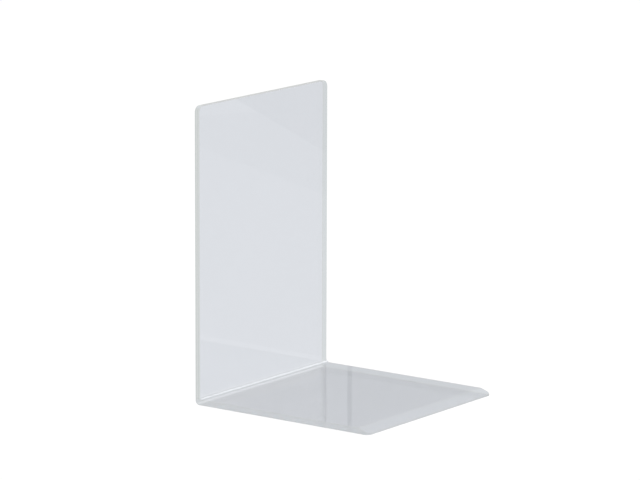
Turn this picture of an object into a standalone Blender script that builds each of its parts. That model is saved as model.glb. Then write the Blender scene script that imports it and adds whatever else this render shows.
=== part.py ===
"""Clear L-shaped desk panel: an upright sheet bonded on edge to a flat foot with a bevelled leading edge.

Metres, +Z up. +X runs from the upright to the foot's leading edge, and +Y runs along the corner between them.
The origin lies on the desk, under the middle of the panel's overall box.
"""
import math

import bmesh
import bpy
from mathutils import Vector

# Overall sizes
HEIGHT = 0.210
WIDTH = 0.148
DEPTH = 0.148

# Upright sheet
UPRIGHT_THICKNESS = 0.004
TOP_CORNER_RADIUS = 0.0045

# Foot sheet: the bevel falls along its length from the top face to the nose, and the heel is the lower rear edge
FOOT_THICKNESS = 0.004
FRONT_CORNER_RADIUS = 0.0045
BEVEL_LENGTH = 0.009
NOSE_HEIGHT = 0.001
HEEL_RADIUS = 0.0032

# Bonded corner: a film under the upright and a hollow bead that wets both sheets in the inside corner
BOND_THICKNESS = 0.0002
BEAD_REACH = 0.0024
BEAD_CONTACT_ANGLE = math.radians(15)

# Chamfer that takes the sharpness off every cut edge outside the joint
EDGE_BREAK = 0.0003

# Facets of each rounded edge, and the turn between faces above which an edge is a real one
ARC_FACETS = 10
EDGE_TURN = math.radians(30)

# Largest distance at which two coordinates count as the same
SAME_PLACE = 1e-6

# Clear acrylic and its clear adhesive
SHEET_COLOUR = (0.72, 0.74, 0.78)
BOND_COLOUR = (0.80, 0.82, 0.85)
SHEET_ROUGHNESS = 0.03
BOND_ROUGHNESS = 0.08
CLEAR_IOR = 1.49

# Places of the pieces, worked out from the sizes above
REAR = -DEPTH / 2
FRONT = DEPTH / 2
UPRIGHT_BASE = FOOT_THICKNESS + BOND_THICKNESS
HEEL_SWEEP = min(HEEL_RADIUS, FOOT_THICKNESS - EDGE_BREAK)


def remove_old_objects():
    for old in list(bpy.data.objects):
        bpy.data.objects.remove(old, do_unlink=True)


def clear_material(name, colour, roughness):
    material = bpy.data.materials.new(name)
    material.use_nodes = True
    shader = material.node_tree.nodes["Principled BSDF"]
    shader.inputs["Base Color"].default_value = (*colour, 1.0)
    shader.inputs["Roughness"].default_value = roughness
    shader.inputs["Metallic"].default_value = 0.0
    shader.inputs["IOR"].default_value = CLEAR_IOR
    shader.inputs["Transmission Weight"].default_value = 1.0
    return material


def add_piece(name, solid, location, material, assembly):
    bmesh.ops.recalc_face_normals(solid, faces=solid.faces)
    mesh = bpy.data.meshes.new(name)
    solid.to_mesh(mesh)
    solid.free()
    mesh.materials.append(material)
    mesh.shade_smooth()
    mesh.set_sharp_from_angle(angle=EDGE_TURN)
    piece = bpy.data.objects.new(name, mesh)
    piece.location = location
    piece.parent = assembly
    bpy.context.scene.collection.objects.link(piece)
    return piece


def cut_sheet(size_x, size_y, size_z):
    """A square-cut block, centred in X and Y, standing on its own Z = 0."""
    solid = bmesh.new()
    bmesh.ops.create_cube(solid, size=1.0)
    bmesh.ops.scale(solid, vec=(size_x, size_y, size_z), verts=solid.verts)
    bmesh.ops.translate(solid, vec=(0, 0, size_z / 2), verts=solid.verts)
    return solid


def edges_at(solid, **places):
    """Edges whose two ends both lie at the given coordinates, such as edges_at(solid, x=0.1, z=0)."""
    def at_places(vertex):
        return all(abs(getattr(vertex.co, axis) - place) < SAME_PLACE for axis, place in places.items())

    return [edge for edge in solid.edges if all(at_places(vertex) for vertex in edge.verts)]


def shape_edges(solid, edges, size, facets):
    """Take the given edges off: one facet makes a chamfer, more make a round of that radius."""
    bmesh.ops.bevel(
        solid,
        geom=edges,
        offset=size,
        offset_type='OFFSET',
        segments=facets,
        profile=0.5,
        affect='EDGES',
        clamp_overlap=False,
    )


def break_edges(solid, joint_edges):
    """Chamfer every real edge, apart from those that the joint keeps square."""
    cut_edges = []
    for edge in solid.edges:
        if edge not in joint_edges and edge.calc_face_angle(0.0) > EDGE_TURN:
            cut_edges.append(edge)
    shape_edges(solid, cut_edges, EDGE_BREAK, facets=1)


def mill_bevel(solid):
    """Plane the leading edge down from the foot's top face to its nose."""
    start = Vector((FRONT - BEVEL_LENGTH, 0, FOOT_THICKNESS))
    nose = Vector((FRONT, 0, NOSE_HEIGHT))
    fall = nose - start
    everything = solid.verts[:] + solid.edges[:] + solid.faces[:]
    cut = bmesh.ops.bisect_plane(
        solid,
        geom=everything,
        dist=SAME_PLACE,
        plane_co=start,
        plane_no=Vector((-fall.z, 0, fall.x)),
        clear_outer=True,
    )
    rim = [item for item in cut["geom_cut"] if isinstance(item, bmesh.types.BMEdge)]
    bmesh.ops.contextual_create(solid, geom=rim)


def foot_plate():
    solid = cut_sheet(DEPTH, WIDTH, FOOT_THICKNESS)
    front_corners = edges_at(solid, x=FRONT, y=WIDTH / 2) + edges_at(solid, x=FRONT, y=-WIDTH / 2)
    shape_edges(solid, front_corners, FRONT_CORNER_RADIUS, ARC_FACETS)
    mill_bevel(solid)
    shape_edges(solid, edges_at(solid, x=REAR, z=0), HEEL_SWEEP, ARC_FACETS)
    break_edges(solid, joint_edges=edges_at(solid, x=REAR, z=FOOT_THICKNESS))
    return solid


def upright_panel():
    rise = HEIGHT - UPRIGHT_BASE
    solid = cut_sheet(UPRIGHT_THICKNESS, WIDTH, rise)
    top_corners = edges_at(solid, y=WIDTH / 2, z=rise) + edges_at(solid, y=-WIDTH / 2, z=rise)
    shape_edges(solid, top_corners, TOP_CORNER_RADIUS, ARC_FACETS)
    break_edges(solid, joint_edges=edges_at(solid, z=0))
    return solid


def bead_face():
    """Points (x, z) of the bead's hollow face, from the foot up to the upright, about the inside corner."""
    half_turn = math.pi / 4 - BEAD_CONTACT_ANGLE
    half_chord = BEAD_REACH / math.sqrt(2)
    radius = half_chord / math.sin(half_turn)
    centre = BEAD_REACH / 2 + radius * math.cos(half_turn) / math.sqrt(2)
    towards_corner = math.radians(225)
    points = []
    for step in range(ARC_FACETS + 1):
        angle = towards_corner + half_turn * (1 - 2 * step / ARC_FACETS)
        points.append((centre + radius * math.cos(angle), centre + radius * math.sin(angle)))
    return points


def corner_bond():
    film_under_upright = [(0, BOND_THICKNESS), (-UPRIGHT_THICKNESS, BOND_THICKNESS), (-UPRIGHT_THICKNESS, 0)]
    profile = bead_face() + film_under_upright
    run = WIDTH - 2 * EDGE_BREAK
    solid = bmesh.new()
    section = solid.faces.new([solid.verts.new((x, -run / 2, z)) for x, z in profile])
    drawn = bmesh.ops.extrude_face_region(solid, geom=[section])
    far_end = [item for item in drawn["geom"] if isinstance(item, bmesh.types.BMVert)]
    bmesh.ops.translate(solid, vec=(0, run, 0), verts=far_end)
    return solid


def build_panel():
    remove_old_objects()
    assembly = bpy.data.objects.new("panel_assembly", None)
    bpy.context.scene.collection.objects.link(assembly)
    inside_corner = REAR + UPRIGHT_THICKNESS
    add_piece(
        "foot_plate",
        foot_plate(),
        (0, 0, 0),
        clear_material("clear_foot_sheet", SHEET_COLOUR, SHEET_ROUGHNESS),
        assembly,
    )
    add_piece(
        "upright_panel",
        upright_panel(),
        (inside_corner - UPRIGHT_THICKNESS / 2, 0, UPRIGHT_BASE),
        clear_material("clear_upright_sheet", SHEET_COLOUR, SHEET_ROUGHNESS),
        assembly,
    )
    add_piece(
        "corner_bond",
        corner_bond(),
        (inside_corner, 0, FOOT_THICKNESS),
        clear_material("clear_bond", BOND_COLOUR, BOND_ROUGHNESS),
        assembly,
    )


build_panel()
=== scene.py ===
"""Looks of the clear L-shaped desk panel: two clear sheets and the adhesive that joins them on edge.

Metres, +Z up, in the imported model's frame. +X runs from the upright to the foot's leading edge, and +Y runs
along the corner between them.
"""
import math

import bmesh
import bpy
from mathutils import Euler, Matrix, Vector


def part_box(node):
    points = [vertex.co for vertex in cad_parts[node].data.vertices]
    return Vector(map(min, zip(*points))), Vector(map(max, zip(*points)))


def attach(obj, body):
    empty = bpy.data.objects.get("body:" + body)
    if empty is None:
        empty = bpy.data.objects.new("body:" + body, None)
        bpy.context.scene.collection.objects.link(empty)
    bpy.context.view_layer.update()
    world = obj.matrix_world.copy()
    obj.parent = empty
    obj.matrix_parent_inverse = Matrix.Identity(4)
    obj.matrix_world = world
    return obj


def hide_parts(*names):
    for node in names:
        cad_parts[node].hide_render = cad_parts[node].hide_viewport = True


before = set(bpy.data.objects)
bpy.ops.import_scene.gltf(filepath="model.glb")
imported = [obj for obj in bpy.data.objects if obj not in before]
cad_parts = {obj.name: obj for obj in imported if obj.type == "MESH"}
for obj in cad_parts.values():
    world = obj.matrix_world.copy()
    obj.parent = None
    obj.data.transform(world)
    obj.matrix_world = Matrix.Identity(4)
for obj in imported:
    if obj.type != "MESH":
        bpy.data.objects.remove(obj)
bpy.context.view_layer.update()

# Places of the two sheets and the adhesive, from the frame
upright_low, upright_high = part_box("upright_panel")
foot_low, foot_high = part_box("foot_plate")
bond_low, bond_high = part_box("corner_bond")
REAR = foot_low.x
FRONT = foot_high.x
WIDTH = foot_high.y - foot_low.y
FOOT_THICKNESS = foot_high.z - foot_low.z
UPRIGHT_THICKNESS = upright_high.x - upright_low.x
UPRIGHT_BASE = upright_low.z
UPRIGHT_RISE = upright_high.z - upright_low.z
INSIDE_CORNER = Vector((upright_high.x, 0, foot_high.z))
BOND_RUN = bond_high.y - bond_low.y
BOND_THICKNESS = UPRIGHT_BASE - foot_high.z
BEAD_REACH = bond_high.x - INSIDE_CORNER.x

# Shaped edges of the sheets
TOP_CORNER_RADIUS = 0.0045
FRONT_CORNER_RADIUS = 0.0045
BEVEL_LENGTH = 0.009
NOSE_HEIGHT = 0.001
HEEL_RADIUS = 0.0032
EDGE_BREAK = 0.0003

# Meshes: facets of each rounded edge, the profile of a true arc, and how far flat faces set the shading
CORNER_FACETS = 24
EDGE_FACETS = 4
ARC_PROFILE = 0.5
FLAT_FACE_WEIGHT = 100

# Turns between two faces above which their edge is broken, and above which it is shaded sharp
CUT_EDGE_TURN = math.radians(15)
SHARP_TURN = math.radians(40)

# Largest distances at which two points are one, and at which a point counts as lying on a face
SAME_PLACE = 1e-6
ON_FACE = 1e-5

# Material slots of a sheet, where only the foot has a heel, and of the bond
CAST_FACE, CUT_EDGE, WETTED, BROKEN_EDGE, HEEL = range(5)
BOND_FACE, BOND_WETTED = range(2)

# Bead of adhesive: its hollow face meets each sheet at the contact angle, and its reach wavers along the
# corner. Points nearer to the corner than the film's reach belong to the film, and stay.
BEAD_CONTACT_ANGLE = math.radians(33)
BEAD_FACETS = 16
BEAD_RINGS = 180
BEAD_WAVER = 0.03
BEAD_WAVER_SCALE = 70.0
BEAD_WAVER_DETAIL = 2.0
BEAD_WAVER_SPREAD = (0.25, 0.75)
BEAD_SEED = 4.0
FILM_REACH = 2 * BOND_THICKNESS

# Clear acrylic: the sheets let light straight through, and a coat with the acrylic's index gives the gloss
BODY_IOR = 1.0004
GLOSS_IOR = 1.49
GLOSS_ROUGHNESS = 0.01
SHADOW_TINT = (0.86, 0.87, 0.89)
NOISE_SPREAD = (0.3, 0.7)

# Cast faces: a slow swell in the surface, and faint marks where the sheet was wiped
FACE_TINT = (0.699, 0.722, 0.763)
SWELL_SCALE = 14.0
SWELL_DETAIL = 1.0
SWELL_SHADE = 0.985
SWELL_DEPTH = 0.00002
WIPE_SCALE = 26.0
WIPE_DETAIL = 4.0
WIPE_STRETCH = (1, 1.6, 0.7)
WIPE_TURN = (0.3, 0.2, 0.5)
WIPE_SPREAD = (0.45, 0.75)
WIPE_ROUGHNESS = (0.0, 0.02)

# Cut edges and heel: fine lines that polishing left along the edge, and a faint cloud in the tint
UPRIGHT_EDGE_TINT = (0.595, 0.638, 0.63)
FOOT_EDGE_TINT = (0.64, 0.67, 0.70)
POLISH_ACROSS_UPRIGHT = (6000, 20, 20)
POLISH_ACROSS_FOOT = (20, 20, 6000)
POLISH_SCALE = 1.0
POLISH_DETAIL = 2.0
POLISH_ROUGHNESS = (0.01, 0.05)
POLISH_DEPTH = 0.0000002
CLOUD_SCALE = 60.0
CLOUD_DETAIL = 2.0
CLOUD_SHADE = 0.95

# Cut edges at the near end: painted shade, a darker tint than the others with a few faint painted dark lines
# along them
NEAR_END = foot_low.y + 0.001
UPRIGHT_NEAR_SHADED_TINT = (0.568, 0.601, 0.565)
FOOT_NEAR_SHADED_TINT = (0.586, 0.61, 0.623)
PAINTED_LINE_SHADE = 0.84
PAINTED_LINE_WIDTHS = (0.0003, 0.0006)
UPRIGHT_PAINTED_LINES = (REAR + 0.0009, INSIDE_CORNER.x - 0.0014)
# The foot's line runs just above the floor: a painted contact shadow.
FOOT_PAINTED_LINES = (0.0003,)

# Heel: a painted glint, a lighter band along the height where the rounded heel gathers light
HEEL_GLINT_HEIGHT = 0.0007
HEEL_GLINT_WIDTHS = (0.0003, 0.0006)
HEEL_GLINT_TINT = (0.83, 0.85, 0.88)

# Broken edges: scuffed here and there
BROKEN_EDGE_TINT = (0.68, 0.69, 0.67)
SCUFF_SCALE = 300.0
SCUFF_DETAIL = 3.0
SCUFF_SHADE = 0.7
SCUFF_ROUGHNESS = (0.02, 0.12)
SCUFF_DEPTH = 0.000001

# Cured adhesive: a slightly rippled glossy face
BOND_TINT = (0.72, 0.74, 0.78)
RIPPLE_SCALE = 400.0
RIPPLE_DETAIL = 2.0
RIPPLE_STRETCH = (1, 0.25, 1)
RIPPLE_SHADE = 0.97
RIPPLE_ROUGHNESS = (0.0, 0.03)
RIPPLE_DEPTH = 0.000002

# Sockets of a Mix node that mixes colours
MIX_SHARE, MIX_FIRST, MIX_SECOND = 0, 6, 7
MIX_RESULT = 2

# Camera: the photograph's view, aimed from the near end of the inside corner
VIEW_AZIMUTH = math.radians(36.420)
VIEW_ELEVATION = math.radians(11.242)
VIEW_ROLL = math.radians(0.177)
VIEW_DISTANCE = 2.8112
AIM_RIGHT = 0.0829
AIM_UP = 0.1150
SENSOR_WIDTH = 36.0
LENS = 227.93

# Studio: a pale floor just under the panel, even light all round and one soft lamp
FLOOR_DROP = 0.0004
FLOOR_SIZE = 12.0
FLOOR_COLOUR = (0.95, 0.95, 0.95)
FLOOR_GLOW = 0.95
FLOOR_WHITE = 1.02
WORLD_COLOUR = (1, 1, 1)
WORLD_LIGHT = 0.72
WORLD_WHITE = 1.0
LAMP_SIZE = (1.2, 0.8)
LAMP_POWER = 30.0
LAMP_PLACE = Vector((-0.6, -0.9, 1.9))
LIGHT_BOUNCES = 24

# Flats that stand far behind the panel, across the view: name, left and right end, colour
FLATS_DISTANCE = 3.0
FLATS_BASE = 0.55
FLATS_TOP = 0.92
FLATS = (
    ("left_flat", -0.9, -0.0145, (0.657, 0.646, 0.632)),
    ("left_gap", -0.0145, -0.0070, (0.455, 0.438, 0.455)),
    ("middle_flat", -0.0070, 0.0233, (0.492, 0.503, 0.518)),
    ("right_gap", 0.0233, 0.0299, (0.327, 0.325, 0.350)),
    ("right_flat", 0.0299, 0.9, (0.466, 0.476, 0.489)),
)

# Panels hung behind and above: name, turns from +Y towards +X and rises, both in degrees as seen from the
# origin, and colour
PANEL_DISTANCE = 1.6
PANELS = (
    ("light_panel", (3, 16.5), (26, 44), (3.0, 3.0, 3.06)),
    ("grey_panel", (16.5, 21.5), (15, 44), (0.30, 0.30, 0.306)),
    ("dark_panel", (-13, 3), (24, 46), (0.15, 0.15, 0.153)),
    ("bevel_panel", (-40, -13), (20, 42), (0.85, 0.85, 0.87)),
)

# Mats on the floor, and the light that the foot's far edge throws there:
# name, middle of the near side, turn, half length, depth, lift off the floor, colour
MATS = (
    ("near_mat", (0.25, -0.09), 0.0, 0.5, 1.1, 0.0001, (0.84, 0.84, 0.857)),
    ("middle_mat", (0.450, 0.680), math.radians(27.5), 0.3, 0.35, 0.0002, (0.65, 0.65, 0.663)),
    ("far_mat", (0.600, 0.8994), math.radians(37.2), 0.3, 0.2, 0.0003, (0.39, 0.39, 0.398)),
    ("edge_light", (0.0025, 0.0898), math.radians(1.7), 0.078, 0.011, 0.0004, (1.10, 1.10, 1.12)),
)


def add_node(tree, kind, settings=None, inputs=None):
    """A node with its settings and inputs: an input is a value, or another node's output to link."""
    node = tree.nodes.new(kind)
    for name, value in (settings or {}).items():
        setattr(node, name, value)
    for socket, value in (inputs or {}).items():
        if isinstance(value, bpy.types.NodeSocket):
            tree.links.new(value, node.inputs[socket])
        else:
            node.inputs[socket].default_value = value
    return node


def worked_out(tree, operation, *values):
    """The result of a Math node."""
    node = add_node(tree, 'ShaderNodeMath', {"operation": operation}, dict(enumerate(values)))
    return node.outputs["Value"]


def exceeds(tree, value, limit):
    """True where a value in a Geometry Nodes tree is above the limit."""
    node = add_node(tree, 'FunctionNodeCompare', {"operation": 'GREATER_THAN'}, {0: value, 1: limit})
    return node.outputs["Result"]


def parts_of(tree, vector):
    """The outputs X, Y and Z of a vector."""
    return add_node(tree, 'ShaderNodeSeparateXYZ', inputs={"Vector": vector}).outputs


def to_range(tree, value, limits, spread=NOISE_SPREAD):
    """A value that runs over the spread, turned into one that runs from the first limit to the second."""
    node = add_node(tree, 'ShaderNodeMapRange', inputs={
        "Value": value,
        "From Min": spread[0],
        "From Max": spread[1],
        "To Min": limits[0],
        "To Max": limits[1],
    })
    return node.outputs["Result"]


def new_tree(name, sizes):
    """A Geometry Nodes tree with the named inputs, its input node's outputs and its output node."""
    tree = bpy.data.node_groups.new(name, 'GeometryNodeTree')
    tree.interface.new_socket("Geometry", in_out='INPUT', socket_type='NodeSocketGeometry')
    for label, kind in sizes.items():
        tree.interface.new_socket(label, in_out='INPUT', socket_type=kind)
    tree.interface.new_socket("Geometry", in_out='OUTPUT', socket_type='NodeSocketGeometry')
    return tree, tree.nodes.new('NodeGroupInput').outputs, tree.nodes.new('NodeGroupOutput')


def finish_tree(tree, geometry, material, result):
    """The two closing steps of every tree: instances made real, and the material set."""
    real = add_node(tree, 'GeometryNodeRealizeInstances', inputs={"Geometry": geometry})
    coated = add_node(tree, 'GeometryNodeSetMaterial', inputs={
        "Geometry": real.outputs["Geometry"],
        "Material": material,
    })
    tree.links.new(coated.outputs["Geometry"], result.inputs["Geometry"])


def grow_mesh(start_mesh, tree, sizes):
    """The plain mesh that a tree makes from a starting mesh, with its inputs set by name."""
    maker = bpy.data.objects.new("maker", start_mesh)
    bpy.context.scene.collection.objects.link(maker)
    modifier = maker.modifiers.new("tree", 'NODES')
    inputs = [item for item in tree.interface.items_tree if item.in_out == 'INPUT']
    identifiers = {item.name: item.identifier for item in inputs}
    modifier.node_group = tree
    for label, value in sizes.items():
        modifier[identifiers[label]] = value
    evaluated = maker.evaluated_get(bpy.context.evaluated_depsgraph_get())
    mesh = bpy.data.meshes.new_from_object(evaluated)
    maker.modifiers.remove(modifier)
    bpy.data.objects.remove(maker)
    return mesh


def cut_sheet_tree():
    """A sheet cut to an outline with two rounded corners at its +X end, then turned and put in place."""
    tree, sizes, result = new_tree("cut_sheet", {
        "Length": 'NodeSocketFloat',
        "Width": 'NodeSocketFloat',
        "Thickness": 'NodeSocketFloat',
        "Corner Radius": 'NodeSocketFloat',
        "Corner Facets": 'NodeSocketInt',
        "Turn": 'NodeSocketRotation',
        "Place": 'NodeSocketVector',
        "Material": 'NodeSocketMaterial',
    })
    outline = add_node(tree, 'GeometryNodeCurvePrimitiveQuadrilateral', inputs={
        "Width": sizes["Length"],
        "Height": sizes["Width"],
    })
    point = add_node(tree, 'GeometryNodeInputPosition')
    along = parts_of(tree, point.outputs["Position"])
    at_far_end = exceeds(tree, along["X"], 0.0)
    rounded = add_node(tree, 'GeometryNodeFilletCurve', {"mode": 'POLY'}, {
        "Curve": outline.outputs["Curve"],
        "Count": sizes["Corner Facets"],
        "Radius": worked_out(tree, 'MULTIPLY', at_far_end, sizes["Corner Radius"]),
    })
    lower_face = add_node(tree, 'GeometryNodeFillCurve', {"mode": 'NGONS'}, {
        "Curve": rounded.outputs["Curve"],
    })
    raised = add_node(tree, 'GeometryNodeExtrudeMesh', {"mode": 'FACES'}, {
        "Mesh": lower_face.outputs["Mesh"],
        "Offset Scale": sizes["Thickness"],
        "Individual": False,
    })
    underside = add_node(tree, 'GeometryNodeFlipFaces', inputs={"Mesh": lower_face.outputs["Mesh"]})
    both = add_node(tree, 'GeometryNodeJoinGeometry')
    tree.links.new(raised.outputs["Mesh"], both.inputs["Geometry"])
    tree.links.new(underside.outputs["Mesh"], both.inputs["Geometry"])
    closed = add_node(tree, 'GeometryNodeMergeByDistance', inputs={
        "Geometry": both.outputs["Geometry"],
        "Distance": SAME_PLACE,
    })
    placed = add_node(tree, 'GeometryNodeTransform', inputs={
        "Geometry": closed.outputs["Geometry"],
        "Translation": sizes["Place"],
        "Rotation": sizes["Turn"],
    })
    finish_tree(tree, placed.outputs["Geometry"], sizes["Material"], result)
    return tree


def bead_tree():
    """A section in the XZ plane, run along the corner and drawn in towards it by an amount that wavers."""
    tree, sizes, result = new_tree("bead_along_corner", {
        "Start": 'NodeSocketVector',
        "End": 'NodeSocketVector',
        "Rings": 'NodeSocketInt',
        "Waver": 'NodeSocketFloat',
        "Waver Scale": 'NodeSocketFloat',
        "Seed": 'NodeSocketFloat',
        "Material": 'NodeSocketMaterial',
    })
    corner_line = add_node(tree, 'GeometryNodeCurvePrimitiveLine', inputs={
        "Start": sizes["Start"],
        "End": sizes["End"],
    })
    rings = add_node(tree, 'GeometryNodeResampleCurve', inputs={
        "Curve": corner_line.outputs["Curve"],
        "Count": sizes["Rings"],
    })
    level = add_node(tree, 'GeometryNodeSetCurveNormal', {"mode": 'Z_UP'}, {
        "Curve": rings.outputs["Curve"],
    })
    section = add_node(tree, 'GeometryNodeMeshToCurve', inputs={"Mesh": sizes["Geometry"]})
    laid_flat = add_node(tree, 'GeometryNodeTransform', inputs={
        "Geometry": section.outputs["Curve"],
        "Rotation": (math.pi / 2, 0, 0),
    })
    run = add_node(tree, 'GeometryNodeCurveToMesh', inputs={
        "Curve": level.outputs["Curve"],
        "Profile Curve": laid_flat.outputs["Geometry"],
        "Fill Caps": True,
    })
    point = add_node(tree, 'GeometryNodeInputPosition')
    from_corner = add_node(tree, 'ShaderNodeVectorMath', {"operation": 'SUBTRACT'}, {
        0: point.outputs["Position"],
        1: sizes["Start"],
    })
    parts = parts_of(tree, from_corner.outputs["Vector"])
    along = add_node(tree, 'ShaderNodeCombineXYZ', inputs={"X": parts["Y"], "Y": sizes["Seed"]})
    drift = add_node(tree, 'ShaderNodeTexNoise', {"noise_dimensions": '2D'}, {
        "Vector": along.outputs["Vector"],
        "Scale": sizes["Waver Scale"],
        "Detail": BEAD_WAVER_DETAIL,
    })
    waver = to_range(tree, drift.outputs["Fac"], (0.0, sizes["Waver"]), BEAD_WAVER_SPREAD)
    across = add_node(tree, 'ShaderNodeCombineXYZ', inputs={"X": parts["X"], "Z": parts["Z"]})
    reach = add_node(tree, 'ShaderNodeVectorMath', {"operation": 'LENGTH'}, {0: across.outputs["Vector"]})
    in_bead = add_node(tree, 'FunctionNodeBooleanMath', {"operation": 'AND'}, {
        0: exceeds(tree, reach.outputs["Value"], FILM_REACH),
        1: exceeds(tree, parts["X"], -SAME_PLACE),
    })
    drawn_in = add_node(tree, 'ShaderNodeVectorMath', {"operation": 'SCALE'}, {
        "Vector": across.outputs["Vector"],
        "Scale": worked_out(tree, 'MULTIPLY', waver, -1.0),
    })
    wavering = add_node(tree, 'GeometryNodeSetPosition', inputs={
        "Geometry": run.outputs["Mesh"],
        "Selection": in_bead.outputs["Boolean"],
        "Offset": drawn_in.outputs["Vector"],
    })
    finish_tree(tree, wavering.outputs["Geometry"], sizes["Material"], result)
    return tree


def at_places(vertex, places):
    return all(abs(getattr(vertex.co, axis) - place) < ON_FACE for axis, place in places.items())


def lies_on(face, **places):
    """True for a flat face that lies at the given coordinate, such as lies_on(face, z=0)."""
    return all(at_places(vertex, places) for vertex in face.verts)


def edges_at(solid, **places):
    """Edges whose two ends both lie at the given coordinates, such as edges_at(solid, x=0.1, z=0)."""
    return [edge for edge in solid.edges if all(at_places(vertex, places) for vertex in edge.verts)]


def round_edges(solid, edges, radius, facets, slot=-1):
    """Round the edges. The new faces take the given material slot, or by default the one beside them."""
    bmesh.ops.bevel(
        solid,
        geom=edges,
        offset=radius,
        offset_type='OFFSET',
        segments=facets,
        profile=ARC_PROFILE,
        affect='EDGES',
        clamp_overlap=False,
        material=slot,
    )


def soften_edges(solid, joint_edges):
    """Round every cut edge a little, apart from those that the joint keeps square."""
    cut_edges = []
    for edge in solid.edges:
        if edge not in joint_edges and edge.calc_face_angle(0.0) > CUT_EDGE_TURN:
            cut_edges.append(edge)
    round_edges(solid, cut_edges, EDGE_BREAK, EDGE_FACETS, slot=BROKEN_EDGE)


def plane_off(solid, point, normal):
    """Take off what lies beyond a plane, and close the cut."""
    everything = solid.verts[:] + solid.edges[:] + solid.faces[:]
    cut = bmesh.ops.bisect_plane(
        solid,
        geom=everything,
        dist=SAME_PLACE,
        plane_co=point,
        plane_no=normal,
        clear_outer=True,
    )
    rim = [item for item in cut["geom_cut"] if isinstance(item, bmesh.types.BMEdge)]
    bmesh.ops.contextual_create(solid, geom=rim)


def score_face(solid, face, point, normal):
    """Part one flat face in two along a plane."""
    bmesh.ops.bisect_plane(
        solid,
        geom=[face] + face.edges[:] + face.verts[:],
        dist=SAME_PLACE,
        plane_co=point,
        plane_no=normal,
    )


def mesh_with_materials(solid, mesh, materials):
    """The solid written to the mesh, with the materials in its slots."""
    mesh.materials.clear()
    for material in materials:
        mesh.materials.append(material)
    bmesh.ops.recalc_face_normals(solid, faces=solid.faces)
    solid.to_mesh(mesh)
    solid.free()
    return mesh


def upright_mesh(tree, materials):
    mesh = grow_mesh(bpy.data.meshes.new("upright"), tree, {
        "Length": UPRIGHT_RISE,
        "Width": WIDTH,
        "Thickness": UPRIGHT_THICKNESS,
        "Corner Radius": TOP_CORNER_RADIUS,
        "Corner Facets": CORNER_FACETS,
        "Turn": Euler((0, -math.pi / 2, 0)),
        "Place": (INSIDE_CORNER.x, 0, UPRIGHT_BASE + UPRIGHT_RISE / 2),
        "Material": materials[CAST_FACE],
    })
    solid = bmesh.new()
    solid.from_mesh(mesh)
    soften_edges(solid, edges_at(solid, z=UPRIGHT_BASE))
    bead_top = Vector((0, 0, INSIDE_CORNER.z + BEAD_REACH))
    for face in [face for face in solid.faces if lies_on(face, x=INSIDE_CORNER.x)]:
        score_face(solid, face, bead_top, Vector((0, 0, 1)))
    for face in solid.faces:
        on_front = lies_on(face, x=INSIDE_CORNER.x)
        under_bead = on_front and face.calc_center_median().z < bead_top.z
        if lies_on(face, z=UPRIGHT_BASE) or under_bead:
            face.material_index = WETTED
        elif on_front or lies_on(face, x=REAR):
            face.material_index = CAST_FACE
        elif face.material_index != BROKEN_EDGE:
            face.material_index = CUT_EDGE
    return mesh_with_materials(solid, mesh, materials)


def foot_mesh(tree, materials):
    mesh = grow_mesh(bpy.data.meshes.new("foot"), tree, {
        "Length": FRONT - REAR,
        "Width": WIDTH,
        "Thickness": FOOT_THICKNESS,
        "Corner Radius": FRONT_CORNER_RADIUS,
        "Corner Facets": CORNER_FACETS,
        "Turn": Euler((0, 0, 0)),
        "Place": (0, 0, 0),
        "Material": materials[CAST_FACE],
    })
    solid = bmesh.new()
    solid.from_mesh(mesh)
    bevel_start = Vector((FRONT - BEVEL_LENGTH, 0, FOOT_THICKNESS))
    fall = Vector((FRONT, 0, NOSE_HEIGHT)) - bevel_start
    plane_off(solid, bevel_start, Vector((-fall.z, 0, fall.x)))
    round_edges(solid, edges_at(solid, x=REAR, z=0), HEEL_RADIUS, CORNER_FACETS)
    soften_edges(solid, edges_at(solid, x=REAR, z=FOOT_THICKNESS))
    bead_end = Vector((INSIDE_CORNER.x + BEAD_REACH, 0, 0))
    for face in [face for face in solid.faces if lies_on(face, z=FOOT_THICKNESS)]:
        score_face(solid, face, bead_end, Vector((1, 0, 0)))
    for face in solid.faces:
        centre = face.calc_center_median()
        on_top = lies_on(face, z=FOOT_THICKNESS)
        if on_top and centre.x < bead_end.x:
            face.material_index = WETTED
        elif on_top or lies_on(face, z=0):
            face.material_index = CAST_FACE
        elif face.material_index != BROKEN_EDGE:
            face.material_index = HEEL if centre.x < REAR + HEEL_RADIUS else CUT_EDGE
    return mesh_with_materials(solid, mesh, materials)


def bead_face():
    """Points (x, z) of the bead's hollow face, from the foot up to the upright, about the inside corner."""
    half_turn = math.pi / 4 - BEAD_CONTACT_ANGLE
    half_chord = BEAD_REACH / math.sqrt(2)
    radius = half_chord / math.sin(half_turn)
    centre = BEAD_REACH / 2 + radius * math.cos(half_turn) / math.sqrt(2)
    towards_corner = math.radians(225)
    points = []
    for step in range(BEAD_FACETS + 1):
        angle = towards_corner + half_turn * (1 - 2 * step / BEAD_FACETS)
        points.append((centre + radius * math.cos(angle), centre + radius * math.sin(angle)))
    return points


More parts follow.
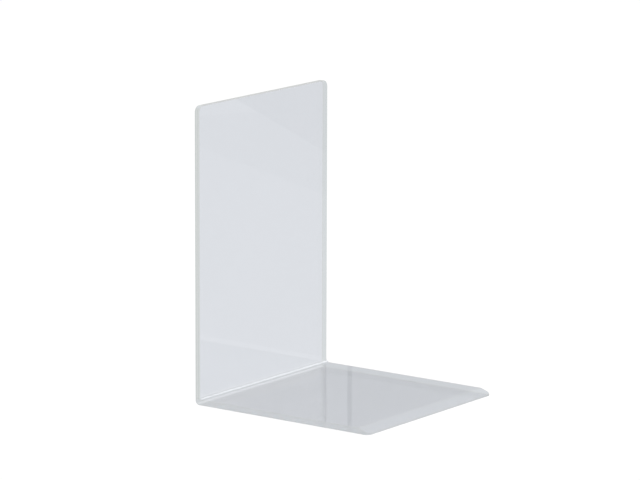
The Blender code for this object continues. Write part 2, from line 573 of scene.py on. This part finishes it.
def bond_mesh(tree, materials):
    film = [(0, BOND_THICKNESS), (-UPRIGHT_THICKNESS, BOND_THICKNESS), (-UPRIGHT_THICKNESS, 0)]
    points = [Vector((x, 0, z)) for x, z in bead_face() + film]
    edges = [(i, (i + 1) % len(points)) for i in range(len(points))]
    section = bpy.data.meshes.new("bond")
    section.from_pydata(points, edges, [])
    half_run = Vector((0, BOND_RUN / 2, 0))
    mesh = grow_mesh(section, tree, {
        "Start": INSIDE_CORNER - half_run,
        "End": INSIDE_CORNER + half_run,
        "Rings": BEAD_RINGS,
        "Waver": BEAD_WAVER,
        "Waver Scale": BEAD_WAVER_SCALE,
        "Seed": BEAD_SEED,
        "Material": materials[BOND_FACE],
    })
    solid = bmesh.new()
    solid.from_mesh(mesh)
    for face in solid.faces:
        wetted = (
            lies_on(face, z=INSIDE_CORNER.z)
            or lies_on(face, z=UPRIGHT_BASE)
            or lies_on(face, x=INSIDE_CORNER.x)
        )
        face.material_index = BOND_WETTED if wetted else BOND_FACE
    return mesh_with_materials(solid, mesh, materials)


def finished_piece(name, mesh):
    """An object for the mesh, with normals that stay true on flat faces and turn only on rounded edges."""
    mesh.shade_smooth()
    mesh.set_sharp_from_angle(angle=SHARP_TURN)
    rough = bpy.data.objects.new("rough", mesh)
    bpy.context.scene.collection.objects.link(rough)
    weigh = rough.modifiers.new("weigh", 'WEIGHTED_NORMAL')
    weigh.keep_sharp = True
    weigh.weight = FLAT_FACE_WEIGHT
    evaluated = rough.evaluated_get(bpy.context.evaluated_depsgraph_get())
    finished_mesh = bpy.data.meshes.new_from_object(evaluated)
    bpy.data.objects.remove(rough)
    piece = bpy.data.objects.new(name, finished_mesh)
    bpy.context.scene.collection.objects.link(piece)
    return piece


def rgba(colour):
    return (*colour, 1)


def shade(colour, share):
    return [channel * share for channel in colour]


def bare_material(name):
    """A new material and its node tree, which is empty."""
    material = bpy.data.materials.new(name)
    material.use_nodes = True
    material.node_tree.nodes.clear()
    return material, material.node_tree


def noise_at(tree, place, scale, detail, stretch=(1, 1, 1), turn=(0, 0, 0)):
    """Noise on the piece's own coordinates, stretched and turned by a Mapping node."""
    laid = add_node(tree, 'ShaderNodeMapping', inputs={"Vector": place, "Scale": stretch, "Rotation": turn})
    noise = add_node(tree, 'ShaderNodeTexNoise', inputs={
        "Vector": laid.outputs["Vector"],
        "Scale": scale,
        "Detail": detail,
    })
    return noise.outputs["Fac"]


def mix_colours(tree, share, first, second):
    """The first colour where the share is 0, and the second where it is 1."""
    mix = add_node(tree, 'ShaderNodeMix', {"data_type": 'RGBA'}, {
        MIX_SHARE: share,
        MIX_FIRST: first,
        MIX_SECOND: second,
    })
    return mix.outputs[MIX_RESULT]


def tinted(tree, value, colour, darkest):
    """The colour, down to its darkest shade where the value is low."""
    return mix_colours(tree, value, rgba(shade(colour, darkest)), rgba(colour))


def lined(tree, colour, painted_line_colour, across, line, widths):
    """The colour with a line of another colour where a coordinate is near the line's place."""
    offset = worked_out(tree, 'SUBTRACT', across, line)
    away = worked_out(tree, 'ABSOLUTE', offset)
    return mix_colours(tree, to_range(tree, away, (0.0, 1.0), widths), rgba(painted_line_colour), colour)


def clear_material(name, build_finish):
    """Clear acrylic with the finish that the function builds.

    A finish is a colour, a roughness, and the height and depth of the marks in the surface.
    """
    material, tree = bare_material(name)
    place = add_node(tree, 'ShaderNodeTexCoord').outputs["Object"]
    colour, roughness, height, depth = build_finish(tree, place)
    marks = add_node(tree, 'ShaderNodeBump', inputs={"Height": height, "Distance": depth, "Strength": 1.0})
    clear = add_node(tree, 'ShaderNodeBsdfPrincipled', inputs={
        "Base Color": colour,
        "Roughness": roughness,
        "IOR": BODY_IOR,
        "Transmission Weight": 1.0,
        "Normal": marks.outputs["Normal"],
        "Coat Weight": 1.0,
        "Coat Roughness": GLOSS_ROUGHNESS,
        "Coat IOR": GLOSS_IOR,
        "Coat Normal": marks.outputs["Normal"],
    })
    ray = add_node(tree, 'ShaderNodeLightPath')
    lets_light_by = add_node(tree, 'ShaderNodeBsdfTransparent', inputs={"Color": rgba(SHADOW_TINT)})
    surface = add_node(tree, 'ShaderNodeMixShader', inputs={
        0: ray.outputs["Is Shadow Ray"],
        1: clear.outputs["BSDF"],
        2: lets_light_by.outputs["BSDF"],
    })
    add_node(tree, 'ShaderNodeOutputMaterial', inputs={"Surface": surface.outputs["Shader"]})
    return material


def cast_face_finish(tree, place):
    swell = noise_at(tree, place, SWELL_SCALE, SWELL_DETAIL)
    wiped = noise_at(tree, place, WIPE_SCALE, WIPE_DETAIL, WIPE_STRETCH, WIPE_TURN)
    colour = tinted(tree, swell, FACE_TINT, SWELL_SHADE)
    roughness = to_range(tree, wiped, WIPE_ROUGHNESS, WIPE_SPREAD)
    return colour, roughness, swell, SWELL_DEPTH


def polished(tree, place, stretch):
    """What every polished edge has: the roughness, the lines of the polish, and the cloud in its tint."""
    lines = noise_at(tree, place, POLISH_SCALE, POLISH_DETAIL, stretch)
    cloud = noise_at(tree, place, CLOUD_SCALE, CLOUD_DETAIL)
    return to_range(tree, lines, POLISH_ROUGHNESS), lines, cloud


def polished_edge_finish(tint, near_shaded_tint, stretch, axis, painted_near_lines):
    """The finish of a sheet's cut edges: the near end has painted shade, a darker tint and dark lines across
    the axis.
    """
    def finish(tree, place):
        roughness, lines, cloud = polished(tree, place, stretch)
        parts = parts_of(tree, place)
        # Painted shade: the near end gets a darker tint and dark lines.
        near_shaded_colour = tinted(tree, cloud, near_shaded_tint, CLOUD_SHADE)
        for line in painted_near_lines:
            painted_line_colour = shade(near_shaded_tint, PAINTED_LINE_SHADE)
            near_shaded_colour = lined(tree, near_shaded_colour, painted_line_colour, parts[axis], line, PAINTED_LINE_WIDTHS)
        elsewhere = worked_out(tree, 'GREATER_THAN', parts["Y"], NEAR_END)
        colour = mix_colours(tree, elsewhere, near_shaded_colour, tinted(tree, cloud, tint, CLOUD_SHADE))
        return colour, roughness, lines, POLISH_DEPTH

    return finish


def heel_finish(tree, place):
    roughness, lines, cloud = polished(tree, place, POLISH_ACROSS_FOOT)
    plain = tinted(tree, cloud, FOOT_EDGE_TINT, CLOUD_SHADE)
    height = parts_of(tree, place)["Z"]
    # A lighter band at the glint's height: a painted glint.
    colour = lined(tree, plain, HEEL_GLINT_TINT, height, HEEL_GLINT_HEIGHT, HEEL_GLINT_WIDTHS)
    return colour, roughness, lines, POLISH_DEPTH


def broken_edge_finish(tree, place):
    scuffs = noise_at(tree, place, SCUFF_SCALE, SCUFF_DETAIL)
    colour = tinted(tree, scuffs, BROKEN_EDGE_TINT, SCUFF_SHADE)
    roughness = to_range(tree, scuffs, SCUFF_ROUGHNESS)
    return colour, roughness, scuffs, SCUFF_DEPTH


def bond_finish(tree, place):
    ripple = noise_at(tree, place, RIPPLE_SCALE, RIPPLE_DETAIL, RIPPLE_STRETCH)
    colour = tinted(tree, ripple, BOND_TINT, RIPPLE_SHADE)
    roughness = to_range(tree, ripple, RIPPLE_ROUGHNESS)
    return colour, roughness, ripple, RIPPLE_DEPTH


def wetted_material():
    """Faces wetted by the adhesive: with no air between them they show nothing."""
    material, tree = bare_material("wetted_face")
    nothing = add_node(tree, 'ShaderNodeBsdfTransparent')
    add_node(tree, 'ShaderNodeOutputMaterial', inputs={"Surface": nothing.outputs["BSDF"]})
    return material


def add_panel():
    wetted = wetted_material()
    face = clear_material("cast_face", cast_face_finish)
    upright_finish = polished_edge_finish(
        UPRIGHT_EDGE_TINT,
        UPRIGHT_NEAR_SHADED_TINT,
        POLISH_ACROSS_UPRIGHT,
        "X",
        UPRIGHT_PAINTED_LINES,
    )
    foot_finish = polished_edge_finish(FOOT_EDGE_TINT, FOOT_NEAR_SHADED_TINT, POLISH_ACROSS_FOOT, "Z", FOOT_PAINTED_LINES)
    upright_edge = clear_material("upright_cut_edge", upright_finish)
    foot_edge = clear_material("foot_cut_edge", foot_finish)
    broken_edge = clear_material("broken_edge", broken_edge_finish)
    heel = clear_material("rounded_heel", heel_finish)
    bond = clear_material("cured_bond", bond_finish)
    sheet = cut_sheet_tree()
    upright = upright_mesh(sheet, [face, upright_edge, wetted, broken_edge])
    foot = foot_mesh(sheet, [face, foot_edge, wetted, broken_edge, heel])
    bead = bond_mesh(bead_tree(), [bond, wetted])
    pieces = (
        ("upright_sheet", upright, "upright_panel", "upright_sheet"),
        ("foot_sheet", foot, "foot_plate", "foot_sheet"),
        ("bond_bead", bead, "corner_bond", "bond"),
    )
    for name, mesh, node, slot in pieces:
        piece = finished_piece(name, mesh)
        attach(piece, "root")
        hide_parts(node)


def add_camera():
    forward = Vector((
        -math.sin(VIEW_AZIMUTH) * math.cos(VIEW_ELEVATION),
        math.cos(VIEW_AZIMUTH) * math.cos(VIEW_ELEVATION),
        -math.sin(VIEW_ELEVATION),
    ))
    right = Vector((math.cos(VIEW_AZIMUTH), math.sin(VIEW_AZIMUTH), 0))
    up = right.cross(forward)
    near_corner = Vector((INSIDE_CORNER.x, foot_low.y, 0))
    aim = near_corner + AIM_RIGHT * right + AIM_UP * up
    rolled_right = math.cos(VIEW_ROLL) * right + math.sin(VIEW_ROLL) * up
    rolled_up = math.cos(VIEW_ROLL) * up - math.sin(VIEW_ROLL) * right
    data = bpy.data.cameras.new("camera")
    data.sensor_fit = 'HORIZONTAL'
    data.sensor_width = SENSOR_WIDTH
    data.lens = LENS
    camera = bpy.data.objects.new("camera", data)
    turn = Matrix((rolled_right, rolled_up, -forward)).transposed().to_4x4()
    camera.matrix_world = Matrix.Translation(aim - VIEW_DISTANCE * forward) @ turn
    bpy.context.scene.collection.objects.link(camera)
    bpy.context.scene.camera = camera


def seen_directly(tree):
    """1 for rays that show the background: from the camera, by way of a gloss or through a clear piece."""
    ray = add_node(tree, 'ShaderNodeLightPath').outputs
    either = worked_out(tree, 'MAXIMUM', ray["Is Camera Ray"], ray["Is Glossy Ray"])
    return worked_out(tree, 'MAXIMUM', either, ray["Is Transmission Ray"])


def add_world():
    world = bpy.data.worlds.new("studio")
    world.use_nodes = True
    tree = world.node_tree
    tree.nodes.clear()
    strength = to_range(tree, seen_directly(tree), (WORLD_LIGHT, WORLD_WHITE), (0.0, 1.0))
    light = add_node(tree, 'ShaderNodeBackground', inputs={
        "Color": rgba(WORLD_COLOUR),
        "Strength": strength,
    })
    add_node(tree, 'ShaderNodeOutputWorld', inputs={"Surface": light.outputs["Background"]})
    bpy.context.scene.world = world


def add_lamp():
    data = bpy.data.lights.new("softbox", 'AREA')
    data.shape = 'RECTANGLE'
    data.size, data.size_y = LAMP_SIZE
    data.energy = LAMP_POWER
    lamp = bpy.data.objects.new("softbox", data)
    lamp.location = LAMP_PLACE
    lamp.rotation_euler = (-LAMP_PLACE).to_track_quat('-Z', 'Y').to_euler()
    bpy.context.scene.collection.objects.link(lamp)


def add_stage(name, solid, material):
    mesh = bpy.data.meshes.new(name)
    solid.to_mesh(mesh)
    solid.free()
    mesh.materials.append(material)
    stage = bpy.data.objects.new(name, mesh)
    bpy.context.scene.collection.objects.link(stage)
    return stage


def add_floor():
    """A pale floor that shows as white, and keeps a share of its own shading for the panel's shadow."""
    material, tree = bare_material("pale_floor")
    matt = add_node(tree, 'ShaderNodeBsdfDiffuse', inputs={"Color": rgba(FLOOR_COLOUR)})
    white = add_node(tree, 'ShaderNodeEmission', inputs={"Strength": FLOOR_WHITE})
    surface = add_node(tree, 'ShaderNodeMixShader', inputs={
        0: worked_out(tree, 'MULTIPLY', seen_directly(tree), FLOOR_GLOW),
        1: matt.outputs["BSDF"],
        2: white.outputs["Emission"],
    })
    add_node(tree, 'ShaderNodeOutputMaterial', inputs={"Surface": surface.outputs["Shader"]})
    solid = bmesh.new()
    bmesh.ops.create_grid(solid, x_segments=1, y_segments=1, size=FLOOR_SIZE / 2)
    bmesh.ops.translate(solid, vec=(0, 0, -FLOOR_DROP), verts=solid.verts)
    add_stage("floor", solid, material)


def add_card(name, corners, colour, shows_through):
    """A plain glowing card that the camera doesn't see and that lights no matt surface.

    It shows by way of the gloss, and where shows_through is set also through the clear pieces.
    """
    material, tree = bare_material(name)
    glow = add_node(tree, 'ShaderNodeEmission', inputs={"Color": rgba(colour), "Strength": 1.0})
    add_node(tree, 'ShaderNodeOutputMaterial', inputs={"Surface": glow.outputs["Emission"]})
    solid = bmesh.new()
    solid.faces.new([solid.verts.new(corner) for corner in corners])
    card = add_stage(name, solid, material)
    card.visible_camera = False
    card.visible_diffuse = False
    card.visible_shadow = False
    card.visible_transmission = shows_through


def add_flats():
    """Flats in a row, standing across the camera's line of sight."""
    away = Vector((-math.sin(VIEW_AZIMUTH), math.cos(VIEW_AZIMUTH), 0)) * FLATS_DISTANCE
    along = Vector((math.cos(VIEW_AZIMUTH), math.sin(VIEW_AZIMUTH), 0))
    low = Vector((0, 0, FLATS_BASE))
    high = Vector((0, 0, FLATS_TOP))
    for name, left_end, right_end, colour in FLATS:
        left = away + along * left_end
        right = away + along * right_end
        add_card(name, (left + low, right + low, right + high, left + high), colour, shows_through=True)


def add_hung_panels():
    """Panels that fill the given turns and rises, as seen from the origin."""
    def place(turn, rise):
        level = Vector((math.sin(math.radians(turn)), math.cos(math.radians(turn)), 0))
        return (level + Vector((0, 0, math.tan(math.radians(rise))))) * PANEL_DISTANCE

    for name, (left, right), (low, high), colour in PANELS:
        corners = (place(left, low), place(right, low), place(right, high), place(left, high))
        add_card(name, corners, colour, shows_through=False)


def add_mats():
    for name, near_side, turn, half_length, depth, lift, colour in MATS:
        start = Vector((*near_side, lift - FLOOR_DROP))
        along = Vector((math.cos(turn), math.sin(turn), 0)) * half_length
        beyond = Vector((-math.sin(turn), math.cos(turn), 0)) * depth
        corners = (start - along, start + along, start + along + beyond, start - along + beyond)
        add_card(name, corners, colour, shows_through=False)


def set_light_paths():
    cycles = bpy.context.scene.cycles
    cycles.max_bounces = LIGHT_BOUNCES
    cycles.glossy_bounces = LIGHT_BOUNCES
    cycles.transmission_bounces = LIGHT_BOUNCES
    cycles.transparent_max_bounces = LIGHT_BOUNCES


add_camera()
add_world()
add_floor()
add_flats()
add_hung_panels()
add_mats()
add_lamp()
add_panel()
set_light_paths()
bpy.context.scene.view_settings.view_transform = 'Standard'
